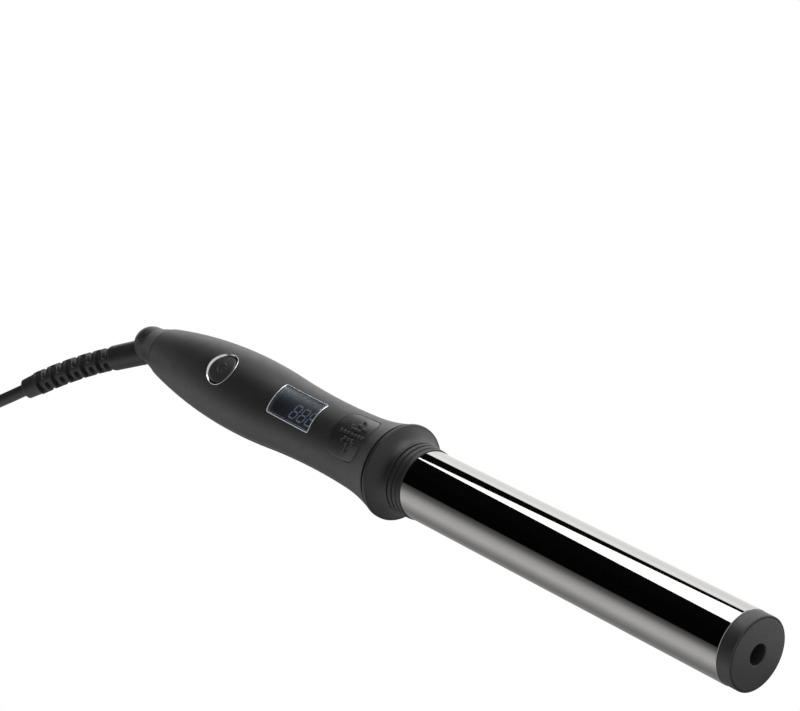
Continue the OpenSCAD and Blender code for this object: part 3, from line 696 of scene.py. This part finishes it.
def make_collar():
    """Thin rim, hollow flare and a nose with three grooves."""
    bore_r = BARREL_R - 0.25 * MM
    hub_r = 14 * MM
    rim_back_x = -2.7 * MM
    rim_front_x = -1.2 * MM
    flare_end_x = 4.8 * MM
    face_r = RIM_R - 0.4 * MM
    nose_r = 13.5 * MM
    nose_end_r = 13 * MM
    floor_r = 12.85 * MM
    groove_w = 0.7 * MM
    corners = [(COLLAR_BACK_X, bore_r, 0), (COLLAR_BACK_X, hub_r, 0), (rim_back_x, hub_r, 0),
               (rim_back_x, RIM_R, 0.5 * MM), (rim_front_x, RIM_R, 0.35 * MM)]
    for step in range(1, 24):
        t = step / 24
        corners.append((rim_front_x + (flare_end_x - rim_front_x) * t,
                        face_r - (face_r - nose_r) * t - 4 * MM * t * (1 - t), 0))
    corners.append((flare_end_x, nose_r, 0.3 * MM))
    for k in range(3):
        start = flare_end_x + 0.6 * MM + 2.2 * MM * k
        top_r = nose_r + (nose_end_r - nose_r) * (start - flare_end_x) / (NOSE_X - flare_end_x)
        corners += [(start, top_r, 0.25 * MM), (start, floor_r, 0.1 * MM),
                    (start + groove_w, floor_r, 0.1 * MM), (start + groove_w, top_r, 0.25 * MM)]
    corners += [(NOSE_X, nose_end_r, 0.3 * MM), (NOSE_X, bore_r, 0)]
    collar = turned("flared_collar", corners, "iron", MATERIALS["collar_plastic"])
    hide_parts("collar")


def make_knuckle():
    """Round end with a flared neck and a spindle, and a socket for the strain relief."""
    ball_r = 7.3 * MM
    ball_x = KNUCKLE_X + ball_r
    face_x = SWIVEL_X - 0.4 * MM
    spindle_r, bore_r = 3.5 * MM, 1.6 * MM
    bore_end_x = -150 * MM
    corners = [(KNUCKLE_X, 0, 0)]
    for step in range(1, 41):
        angle = math.pi / 2 * step / 40
        corners.append((ball_x - ball_r * math.cos(angle), ball_r * math.sin(angle), 0))
    corners += [(-152.5 * MM, 7.55 * MM, 6 * MM), (face_x, 9.75 * MM, 0.25 * MM), (face_x, spindle_r, 0),
                (SPINDLE_X, spindle_r, 0.3 * MM), (SPINDLE_X, bore_r, 0), (bore_end_x, bore_r, 0),
                (bore_end_x, 0, 0)]
    knuckle = turned("round_knuckle", corners, "cord_set", MATERIALS["soft_black"], closed=False)
    knuckle.modifiers.clear()
    angles = np.linspace(0, 2 * math.pi, 128, endpoint=False)
    radii = np.full_like(angles, SLEEVE_R + 0.08 * MM)
    rows = [relief_ring(s, radii, angles) for s in (RELIEF_START, 12 * MM)]
    socket = bpy.data.objects.new("socket", grid_mesh("socket", rows, close_columns=True, caps=True))
    scene.collection.objects.link(socket)
    cut_away(knuckle, socket)
    knuckle.data.set_sharp_from_angle(angle=math.radians(35))
    weigh_normals(knuckle)
    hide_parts("knuckle")


def half_section(x, drop, side):
    """Outer and inner lines of half a handle's wall at x, with the seam's step at both ends."""
    seam_z, step_in, edge = 0.15 * MM, 0.2 * MM, 0.15 * MM
    outer_r = float(handle_r(x)) - drop
    inner_r = float(handle_r(x)) - SHELL_WALL
    corner = [(outer_r - step_in, 0.0), (outer_r - step_in, seam_z / outer_r)]
    for a in (0, 22.5, 45, 67.5):
        lift = math.radians(a)
        height = seam_z + edge * (1 - math.cos(lift))
        corner.append((outer_r - edge * (1 - math.sin(lift)), height / outer_r))
    first = (seam_z + edge) / outer_r
    arc = [(outer_r, first + (math.pi - 2 * first) * k / 120) for k in range(121)]
    line = corner + arc + [(r, math.pi - a) for r, a in reversed(corner)]
    outer = [(x, r * math.cos(a), AXIS_Z + side * r * math.sin(a)) for r, a in line]
    inner = [(x, inner_r * math.cos(a), AXIS_Z + side * inner_r * math.sin(a)) for r, a in line]
    return outer + inner[::-1]


def make_half(name, node, side, cutters):
    """One half of the handle, with exact shading on its outer surface."""
    edge = 0.35 * MM
    quarter = np.linspace(0, math.pi / 2, 6)[:-1]
    rounding = [(edge * (1 - math.cos(a)), edge * (1 - math.sin(a))) for a in quarter]
    inside = np.linspace(SWIVEL_X + edge, FRONT_X - edge, 121)
    stations = [(SWIVEL_X + along, drop) for along, drop in rounding]
    stations += [(float(x), 0.0) for x in inside]
    stations += [(FRONT_X - along, drop) for along, drop in reversed(rounding)]
    rows = [half_section(x, drop, side) for x, drop in stations]
    mesh = grid_mesh(name, rows, close_columns=True)
    count = len(rows[0])
    close_ends(mesh, count)
    half = new_piece(name, mesh, "iron", MATERIALS["soft_black"])
    if cutters:
        cut_away(half, *cutters)
    shade_exactly(half.data)
    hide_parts(node)


def close_ends(mesh, count):
    """Closes both ends of a wall section with strips of faces."""
    work = bmesh.new()
    work.from_mesh(mesh)
    work.verts.ensure_lookup_table()
    total = len(work.verts)
    for first in (0, total - count):
        for k in range(count // 2 - 1):
            ring = [first + k, first + k + 1, first + count - 2 - k, first + count - 1 - k]
            work.faces.new([work.verts[i] for i in ring])
    bmesh.ops.recalc_face_normals(work, faces=work.faces)
    work.to_mesh(mesh)
    work.free()


def shade_exactly(mesh):
    """Sets the true normals of the handle's outline on its outer faces."""
    mesh.shade_smooth()
    mesh.set_sharp_from_angle(angle=math.radians(30))
    count = len(mesh.loops)
    corner_points = np.zeros(count, dtype=np.int32)
    mesh.loops.foreach_get("vertex_index", corner_points)
    points = np.zeros(len(mesh.vertices) * 3)
    mesh.vertices.foreach_get("co", points)
    place = points.reshape(-1, 3)[corner_points]
    face_normals = np.zeros(len(mesh.polygons) * 3)
    mesh.polygons.foreach_get("normal", face_normals)
    sizes = np.zeros(len(mesh.polygons), dtype=np.int32)
    mesh.polygons.foreach_get("loop_total", sizes)
    flat = np.repeat(face_normals.reshape(-1, 3), sizes, axis=0)
    x = place[:, 0]
    reach = np.hypot(place[:, 1], place[:, 2] - AXIS_Z)
    step = 0.01 * MM
    slope = (handle_r(x + step) - handle_r(x - step)) / (2 * step)
    true = np.stack([-slope, place[:, 1] / reach, (place[:, 2] - AXIS_Z) / reach], axis=1)
    true /= np.linalg.norm(true, axis=1)[:, None]
    on_surface = (np.abs(reach - handle_r(x)) < 0.01 * MM) & (np.sum(true * flat, axis=1) > 0.97)
    normals = np.where(on_surface[:, None], true, 0.0)
    mesh.normals_split_custom_set(normals.tolist())


def make_handle():
    low, high = AXIS_Z + 5 * MM, AXIS_Z + 20 * MM
    rim = 0.35 * MM
    pad_half = (PAD_HIGH - PAD_LOW) / 2
    pad_x = middle("thumb_pad").x
    cutters = [
        upright_cutter(circle(BUTTON_X, 0, RING_R - 0.05 * MM, 128), low, high),
        upright_cutter(rectangle(WINDOW_X, 0, WINDOW_HALF.x + rim, WINDOW_HALF.y + rim, 0.5 * MM), low, high),
        upright_cutter(rectangle(pad_x, 0, pad_half.x, pad_half.y, 4 * MM, 16), low, high)]
    make_half("handle_top_half", "upper_shell", 1, cutters)
    bottom = AXIS_Z - 8.5 * MM
    screws = [upright_cutter(circle(x, 0, 2.3 * MM, 64), -1 * MM, bottom) for x in (-116 * MM, -33 * MM)]
    make_half("handle_bottom_half", "lower_shell", -1, screws)


def make_seam_painted_highlight():
    """Thin strip in the seam between the halves. Its pale grey is a painted highlight for the light caught
    along the seam, not the plastic's own colour.
    """
    finish = Finish("seam_painted_highlight")
    # Painted highlight: the pale grey stands in for light caught along the seam.
    finish.put("Base Color", finish.mix(finish.spread(finish.noise(4 * MM), 0, 1), grey(0.14), grey(0.24)))
    finish.put("Roughness", finish.spread(finish.noise(2 * MM), 0.35, 0.5))
    finish.put("Normal", finish.bump(finish.noise(0.4 * MM), 0.01 * MM))
    half_w = 0.16 * MM
    rows = []
    for x in np.linspace(SWIVEL_X + 1 * MM, FRONT_X - 1 * MM, 140):
        reach = float(handle_r(x)) + 0.02 * MM
        rows.append([(x, reach - 0.3 * MM, AXIS_Z - half_w), (x, reach, AXIS_Z - half_w),
                     (x, reach, AXIS_Z + half_w), (x, reach - 0.3 * MM, AXIS_Z + half_w)])
    for name, side in (("seam_painted_highlight_left", 1), ("seam_painted_highlight_right", -1)):
        mirrored = [[(x, side * y, z) for x, y, z in row] for row in rows]
        mesh = grid_mesh(name, mirrored, close_columns=True, caps=True)
        new_piece(name, mesh, "iron", finish.material)


def box_distance(x, y, half_x, half_y, corner):
    """Distance inwards from the edge of a rounded rectangle round the origin."""
    out_x = np.maximum(np.abs(x) - (half_x - corner), 0)
    out_y = np.maximum(np.abs(y) - (half_y - corner), 0)
    inside = np.minimum(half_x - np.abs(x), half_y - np.abs(y))
    return np.where((out_x > 0) & (out_y > 0), corner - np.hypot(out_x, out_y), inside)


def handle_patch(name, x0, half_x, half_y, corner, pitch, height, thick, material):
    """Thin piece let into the top of the handle. height(x, y, inwards) is its rise over the handle."""
    spare = 0.2 * MM
    xs = np.arange(-half_x - spare, half_x + spare + pitch / 2, pitch)
    ys = np.arange(-half_y - spare, half_y + spare + pitch / 2, pitch)
    x, y = np.meshgrid(xs, ys, indexing="ij")
    inwards = box_distance(x, y, half_x, half_y, corner)
    reach = handle_r(x0 + x) + height(x, y, inwards)
    lean = np.arcsin(np.clip(y / handle_r(x0 + x), -1, 1))
    points = np.stack([x0 + x, reach * np.sin(lean), AXIS_Z + reach * np.cos(lean)], axis=-1)
    mesh = grid_mesh(name, points)
    work = bmesh.new()
    work.from_mesh(mesh)
    spares = [face for face in work.faces
              if inside_of(face.calc_center_median(), x0, half_x, half_y, corner) < -0.1 * MM]
    bmesh.ops.delete(work, geom=spares, context="FACES")
    work.to_mesh(mesh)
    work.free()
    piece = new_piece(name, mesh, "iron", material, 60)
    body = piece.modifiers.new("thickness", "SOLIDIFY")
    body.thickness = thick
    body.offset = -1
    return piece


def inside_of(point, x0, half_x, half_y, corner):
    return float(box_distance(point.x - x0, point.y, half_x, half_y, corner))


DOT_PITCH = 2.1 * MM
DOTS_X = -18.6 * MM


def dot_places():
    """Arms of three dots along and across, arms of two on the diagonals, and one in the middle."""
    places = [(0.0, 0.0)]
    for k in (1, 2, 3):
        places += [(k, 0), (0, k), (-k, 0), (0, -k)]
    for k in (1, 1.5):
        places += [(a * k, b * k) for a in (-1, 1) for b in (-1, 1)]
    return [(DOT_PITCH * a, DOT_PITCH * b) for a, b in places]


def make_pad():
    """Soft pad that is flush at the back and stands proud at the front, with its raised dots."""
    pad_half = (PAD_HIGH - PAD_LOW) / 2
    pad_x = middle("thumb_pad").x
    sink = 0.02 * MM
    dot_r = 0.62 * MM
    dot_h = 0.75 * MM

    def height(x, y, inwards):
        towards_front = smooth(x, 0, 8 * MM)
        rise = (sink + 0.15 * MM) * towards_front - sink
        crease = (0.08 + 0.5 * towards_front) * MM
        rise = rise - crease * (1 - smooth(inwards, -0.1 * MM, 0.45 * MM))
        for a, b in dot_places():
            away = np.hypot(x + pad_x - DOTS_X - a, y - b) / dot_r
            rise = rise + dot_h * np.sqrt(np.clip(1 - away ** 2, 0, 1))
        return rise

    pad = handle_patch("dotted_pad", pad_x, pad_half.x, pad_half.y, 4 * MM, 0.1 * MM, height, 0.8 * MM,
                       MATERIALS["pad_rubber"])
    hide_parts("thumb_pad")


def make_window():
    def height(x, y, inwards):
        return -0.25 * MM * (1 - smooth(inwards, -0.05 * MM, 0.35 * MM))

    window = handle_patch("smoked_window", WINDOW_X, WINDOW_HALF.x, WINDOW_HALF.y, 0.6 * MM, 0.15 * MM,
                          height, 0.9 * MM, MATERIALS["window_plastic"])
    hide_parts("display_window")


def rim_on_handle(name, node, outline, width, rise):
    """Thin bright rim that follows the handle's surface along a closed (x, y) outline."""
    rows = []
    half = width / 2
    count = len(outline)
    for i, (x, y) in enumerate(outline):
        ahead = Vector(outline[(i + 1) % count]) - Vector(outline[i - 1])
        out = Vector((ahead.y, -ahead.x)).normalized()
        ring = []
        for k in range(16):
            angle = math.tau * k / 16
            px = x + out.x * half * math.cos(angle)
            py = y + out.y * half * math.cos(angle)
            drop = 0.9 * MM if math.sin(angle) < 0 else rise + 0.1 * MM
            ring.append((px, py, float(handle_top(px, py)) - 0.1 * MM + drop * math.sin(angle)))
        rows.append(ring)
    mesh = grid_mesh(name, rows, close_rows=True, close_columns=True)
    rim = new_piece(name, mesh, "iron", MATERIALS["bright_chrome"], 60)
    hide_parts(node)


def make_ring():
    """Bright ring that slopes down towards the button."""
    outline = rounded_outline([
        (RING_R, -1.8 * MM, 0), (RING_R, 0.12 * MM, 0.12 * MM), (RING_R - 0.2 * MM, 0.12 * MM, 0.12 * MM),
        (BUTTON_R + 0.32 * MM, -0.75 * MM, 0.1 * MM), (BUTTON_R + 0.32 * MM, -1.8 * MM, 0)])
    angles = np.linspace(0, 2 * math.pi, 160, endpoint=False)
    rows = []
    for r, rise in outline:
        x, y = BUTTON_X + r * np.cos(angles), r * np.sin(angles)
        rows.append(np.stack([x, y, handle_top(x, y) + rise], axis=-1))
    mesh = grid_mesh("chrome_ring", rows, close_rows=True, close_columns=True)
    ring = new_piece("chrome_ring", mesh, "iron", MATERIALS["bright_chrome"], 60)
    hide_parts("button_ring")


def make_rim():
    rim_w = 0.4 * MM
    outline = rectangle(WINDOW_X, 0, WINDOW_HALF.x + rim_w / 2, WINDOW_HALF.y + rim_w / 2, 0.8 * MM, 6)
    fine = []
    for (ax, ay), (bx, by) in zip(outline, outline[1:] + outline[:1]):
        parts = max(1, round(math.hypot(bx - ax, by - ay) / (0.5 * MM)))
        fine += [(ax + (bx - ax) * k / parts, ay + (by - ay) * k / parts) for k in range(parts)]
    rim_on_handle("window_rim", "display_rim", fine, rim_w, 0.12 * MM)


def power_mark(x, y):
    """Rise of the power mark: an open ring and a bar through its gap."""
    stroke, ring_r = 0.32 * MM, 1.95 * MM
    edge = 0.09 * MM
    away = np.hypot(x, y)
    side = np.abs(np.degrees(np.arctan2(y, x)))
    ring = 1 - smooth(np.abs(away - ring_r), stroke - edge, stroke + edge)
    ring = ring * smooth(side, 36, 42)
    along = np.maximum(np.abs(x - 1.6 * MM) - 1.1 * MM, 0)
    bar = 1 - smooth(np.hypot(along, y), stroke - edge, stroke + edge)
    return np.maximum(ring, bar)


def make_button():
    """Crowned cap with a raised power mark, on a flange and a stem."""
    low_z = box("power_button")[0].z
    flange_z = AXIS_Z + 11.4 * MM
    flange_r = RING_R - 0.2 * MM
    edge = 0.5 * MM
    angles = np.linspace(0, 2 * math.pi, 160, endpoint=False)
    under = [(0, low_z), (2 * MM, low_z), (2 * MM, flange_z), (flange_r, flange_z),
             (flange_r, flange_z + 0.8 * MM), (BUTTON_R, flange_z + 0.8 * MM)]
    rows = []
    for r, z in under:
        x, y = BUTTON_X + r * np.cos(angles), r * np.sin(angles)
        rows.append(np.stack([x, y, np.full_like(angles, z)], axis=-1))
    reach = [BUTTON_R - edge * (1 - math.cos(a)) for a in np.linspace(0, math.pi / 2, 8)]
    drops = [edge * (1 - math.sin(a)) for a in np.linspace(0, math.pi / 2, 8)]
    flat = np.linspace(BUTTON_R - edge, 0, 90)[1:]
    for r, drop in list(zip(reach, drops)) + [(r, 0.0) for r in flat]:
        x, y = r * np.cos(angles), r * np.sin(angles)
        z = handle_top(BUTTON_X + x, y) - 0.3 * MM - drop + 0.22 * MM * power_mark(x, y)
        rows.append(np.stack([BUTTON_X + x, y, z], axis=-1))
    button = new_piece("power_cap", grid_mesh("power_cap", rows, close_columns=True), "button",
                       MATERIALS["button_plastic"], 50)
    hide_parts("power_button")


def make_digits():
    """Three slanted seven-segment digits that show faintly on the display. They give off a faint painted glow
    of their own in place of the light that would reach them through the window.
    """
    finish = Finish("segments")
    finish.put("Base Color", finish.mix(finish.spread(finish.noise(1 * MM), 0, 1), grey(0.5), grey(0.62)))
    finish.put("Roughness", finish.spread(finish.noise(2 * MM), 0.3, 0.5))
    finish.put("Normal", finish.bump(finish.noise(0.5 * MM), 0.004 * MM))
    # Painted glow: emission stands in for light reaching the segments through the smoked window.
    finish.put("Emission Color", (0.6, 0.66, 0.72, 1))
    finish.put("Emission Strength", 0.2)
    wide, tall, stroke, slant = 3.1 * MM, 5.6 * MM, 0.34 * MM, 0.14
    bars = [((0, 1), (1, 1)), ((0, 0), (1, 0)), ((0, -1), (1, -1)),
            ((0, 0), (0, 1)), ((0, -1), (0, 0)), ((1, 0), (1, 1)), ((1, -1), (1, 0))]
    points, faces = [], []
    for k in range(3):
        left = WINDOW_X - 4.2 * MM + k * 4.6 * MM
        for (ax, ay), (bx, by) in bars:
            start = Vector((ax * wide, ay * tall / 2))
            end = Vector((bx * wide, by * tall / 2))
            along = (end - start).normalized()
            side = Vector((-along.y, along.x)) * stroke
            gap = along * 0.12 * MM
            shape = [start + gap, start + gap + along * stroke + side, end - gap - along * stroke + side,
                     end - gap, end - gap - along * stroke - side, start + gap + along * stroke - side]
            first = len(points)
            for z in (LCD_TOP, LCD_TOP + 0.04 * MM):
                points += [(left + p.x + slant * p.y, p.y - 0.6 * MM, z) for p in shape]
            faces.append(tuple(first + j for j in reversed(range(6))))
            faces.append(tuple(first + 6 + j for j in range(6)))
            around = [(first + j, first + (j + 1) % 6) for j in range(6)]
            faces += [(a, b, b + 6, a + 6) for a, b in around]
    mesh = bpy.data.meshes.new("display_digits_painted_glow")
    mesh.from_pydata(points, [], faces)
    digits = new_piece("display_digits_painted_glow", mesh, "iron", finish.material)


# Light: white all round for the camera, and for reflections a pale studio with a dark upper part

def levels(tree, value, low, high, stops):
    """Value from low to high, turned into the levels given at places from 0 to 1."""
    spread = tree.nodes.new("ShaderNodeMapRange")
    spread.inputs["From Min"].default_value = low
    spread.inputs["From Max"].default_value = high
    tree.links.new(value, spread.inputs["Value"])
    ramp = tree.nodes.new("ShaderNodeValToRGB")
    tree.links.new(spread.outputs["Result"], ramp.inputs["Fac"])
    top = max(level for place, level in stops)
    elements = ramp.color_ramp.elements
    while len(elements) < len(stops):
        elements.new(0.5)
    for element, (place, level) in zip(elements, stops):
        element.position = (place - low) / (high - low)
        element.color = grey(level / top)
    bright = tree.nodes.new("ShaderNodeMath")
    bright.operation = "MULTIPLY"
    bright.inputs[1].default_value = top
    tree.links.new(ramp.outputs["Color"], bright.inputs[0])
    return bright.outputs[0]


def blended(tree, share, first, second):
    node = tree.nodes.new("ShaderNodeMix")
    for socket, value in ((0, share), (2, first), (3, second)):
        if isinstance(value, bpy.types.NodeSocket):
            tree.links.new(value, node.inputs[socket])
        else:
            node.inputs[socket].default_value = value
    return node.outputs[0]


def make_world():
    world = bpy.data.worlds.new("studio")
    world.use_nodes = True
    scene.world = world
    tree = world.node_tree
    toward = tree.nodes.new("ShaderNodeSeparateXYZ")
    tree.links.new(tree.nodes.new("ShaderNodeTexCoord").outputs["Generated"], toward.inputs[0])
    near_side = levels(tree, toward.outputs["Z"], 0, 0.6, [
        (0, 1.05), (0.156, 0.93), (0.276, 0.68), (0.407, 0.30), (0.5, 0.15), (0.535, 0.12), (0.545, 0.003)])
    far_side = levels(tree, toward.outputs["Z"], 0, 0.2, [(0, 2.0), (0.055, 2.0), (0.075, 0.005)])
    side = levels(tree, toward.outputs["Y"], -0.2, 0.2, [(-0.08, 0.0), (0.08, 1.0)])
    behind = blended(tree, side, near_side, far_side)
    front = levels(tree, toward.outputs["X"], -0.2, 0.4, [(0.0, 0.0), (0.2, 1.0)])
    room = blended(tree, front, behind, 0.65)
    camera_ray = tree.nodes.new("ShaderNodeLightPath").outputs["Is Camera Ray"]
    light = blended(tree, camera_ray, room, 1.0)
    background = tree.nodes["Background"]
    background.inputs["Color"].default_value = grey(1)
    tree.links.new(light, background.inputs["Strength"])


def floor_plane(name, z, half):
    mesh = bpy.data.meshes.new(name)
    corners = [(-half, -half, z), (half, -half, z), (half, half, z), (-half, half, z)]
    mesh.from_pydata(corners, [], [(0, 1, 2, 3)])
    plane = bpy.data.objects.new(name, mesh)
    scene.collection.objects.link(plane)
    material = bpy.data.materials.new(name)
    material.use_nodes = True
    tree = material.node_tree
    tree.nodes.remove(tree.nodes["Principled BSDF"])
    glow = tree.nodes.new("ShaderNodeEmission")
    tree.links.new(glow.outputs[0], tree.nodes["Material Output"].inputs["Surface"])
    mesh.materials.append(material)
    return plane, tree, glow


def make_floor():
    """A white table for the camera, and for reflections a glowing one whose glow dips under the iron as a
    painted shadow of it.
    """
    seen = floor_plane("table", -0.2 * MM, 3)[0]
    seen.visible_diffuse = False
    seen.visible_glossy = False
    seen.visible_transmission = False
    seen.visible_shadow = False
    reflected, tree, glow = floor_plane("table_glow_with_painted_shadow", -0.3 * MM, 3)
    reflected.visible_camera = False
    place = tree.nodes.new("ShaderNodeSeparateXYZ")
    tree.links.new(tree.nodes.new("ShaderNodeTexCoord").outputs["Object"], place.inputs[0])
    # Glow along y: a painted shadow of the iron as a dip near y = 0, brightest on the far side.
    level = levels(tree, place.outputs["Y"], -0.2, 0.6, [
        (-0.16, 1.05), (-0.08, 0.86), (-0.05, 0.6), (-0.03, 0.36), (0, 0.4), (0.015, 1.0), (0.03, 1.2),
        (0.055, 1.5), (0.16, 1.9), (0.6, 2.1)])
    tree.links.new(level, glow.inputs["Strength"])


def make_softbox():
    """Square softbox on the far side, with one corner towards the cord end."""
    reach, lean, width, level = 0.8, math.radians(52), 0.7, 3.5
    toward = Vector((0, math.sin(lean), math.cos(lean)))
    data = bpy.data.lights.new("softbox", "AREA")
    data.shape = "SQUARE"
    data.size = width
    data.energy = level * math.pi * width ** 2
    softbox = bpy.data.objects.new("softbox", data)
    scene.collection.objects.link(softbox)
    centre = Vector((-0.265, 0, AXIS_Z)) + toward * reach
    aim = toward.to_track_quat("Z", "X").to_matrix().to_4x4()
    softbox.matrix_world = Matrix.Translation(centre) @ aim @ Matrix.Rotation(math.radians(45), 4, "Z")
    softbox.visible_camera = False


make_camera()
paint_nodes()
make_cord()
make_relief()
make_knuckle()
make_barrel()
make_cap()
make_collar()
make_handle()
make_seam_painted_highlight()
make_pad()
make_window()
make_ring()
make_rim()
make_button()
make_digits()
make_world()
make_floor()
make_softbox()
